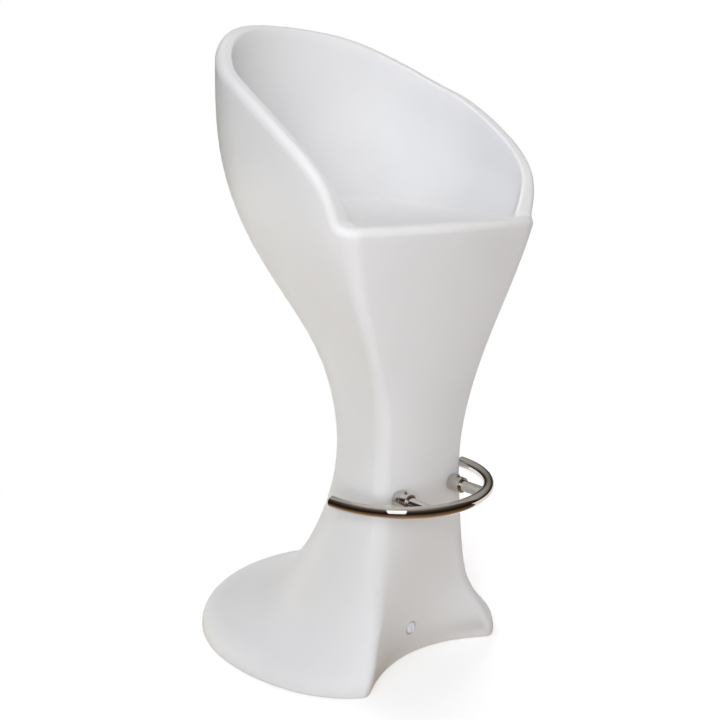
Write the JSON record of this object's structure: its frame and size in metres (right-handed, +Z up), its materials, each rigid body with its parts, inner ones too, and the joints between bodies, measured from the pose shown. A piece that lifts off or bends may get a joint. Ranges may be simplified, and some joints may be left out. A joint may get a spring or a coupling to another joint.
{
  "type": "led light-up stool",
  "caption": "High stool with a one-piece translucent white body, wraparound bucket seat, flared base, half-ring chromed footrest and a rechargeable lamp inside the base.",
  "frame": {"origin": "on the floor, under the middle of the whole stool's bounding box", "axes": "+Z up, -Y to the front (the open side of the seat and the footrest), +X to the right seen from the front"},
  "size_m": [0.5142, 0.5726, 1.0594],
  "materials": {
    "white_body": "satin white translucent polyethylene",
    "white_plastic": "satin white",
    "chrome": "polished chrome on steel tube",
    "satin_steel": "bright turned steel",
    "steel": "zinc plated",
    "brass": "turned",
    "black_rubber": "matt black",
    "button_rubber": "matt grey",
    "clear_rubber": "milky clear soft plastic",
    "board": "white solder mask",
    "light_chip": "pale yellow",
    "dark_plastic": "moulded black",
    "lens": "milky translucent",
    "cell_wrap": "blue shrink sleeve",
    "lead_black": "black sheath",
    "lead_red": "red sheath"
  },
  "bodies": {
    "stool": {"shell": "white_body", "footrest_ring": "chrome", "ring_end_caps": "chrome", "footrest_leg_left": "chrome", "footrest_leg_right": "chrome", "leg_collar_left": "satin_steel", "leg_collar_right": "satin_steel", "leg_bolts": "steel", "leg_inserts": "brass", "grub_screws": "chrome", "lamp_gasket": "black_rubber", "lamp_tray": "white_plastic", "lamp_screws": "steel", "lamp_inserts": "brass", "led_board": "board", "led_chips": "light_chip", "infrared_receiver": "dark_plastic", "lamp_lens": "lens", "battery_cells": "cell_wrap", "battery_cradle": "dark_plastic", "cell_contacts": "steel", "control_board": "board", "board_screws": "steel", "control_chips": "dark_plastic", "switch_body": "dark_plastic", "charge_bezel": "white_plastic", "charge_nut": "white_plastic", "charge_jack": "dark_plastic", "charge_lead": "lead_black", "lead_grommet": "black_rubber", "led_leads": "lead_red", "cell_leads": "lead_red"},
    "power_button": {"power_button": "button_rubber", "switch_plunger": "white_plastic"},
    "charge_plug": {"charge_plug": "clear_rubber"}
  },
  "joints": [
    {"name": "power_button_press", "type": "slide", "parent": "stool", "child": "power_button", "axis": [0, 0, 1], "range_m": [0, 0.0008], "stiffness_N_per_m": 2000},
    {"name": "charge_plug_pull", "type": "slide", "parent": "stool", "child": "charge_plug", "axis": [0, -1, 0], "range_m": [0, 0.012]}
  ]
}
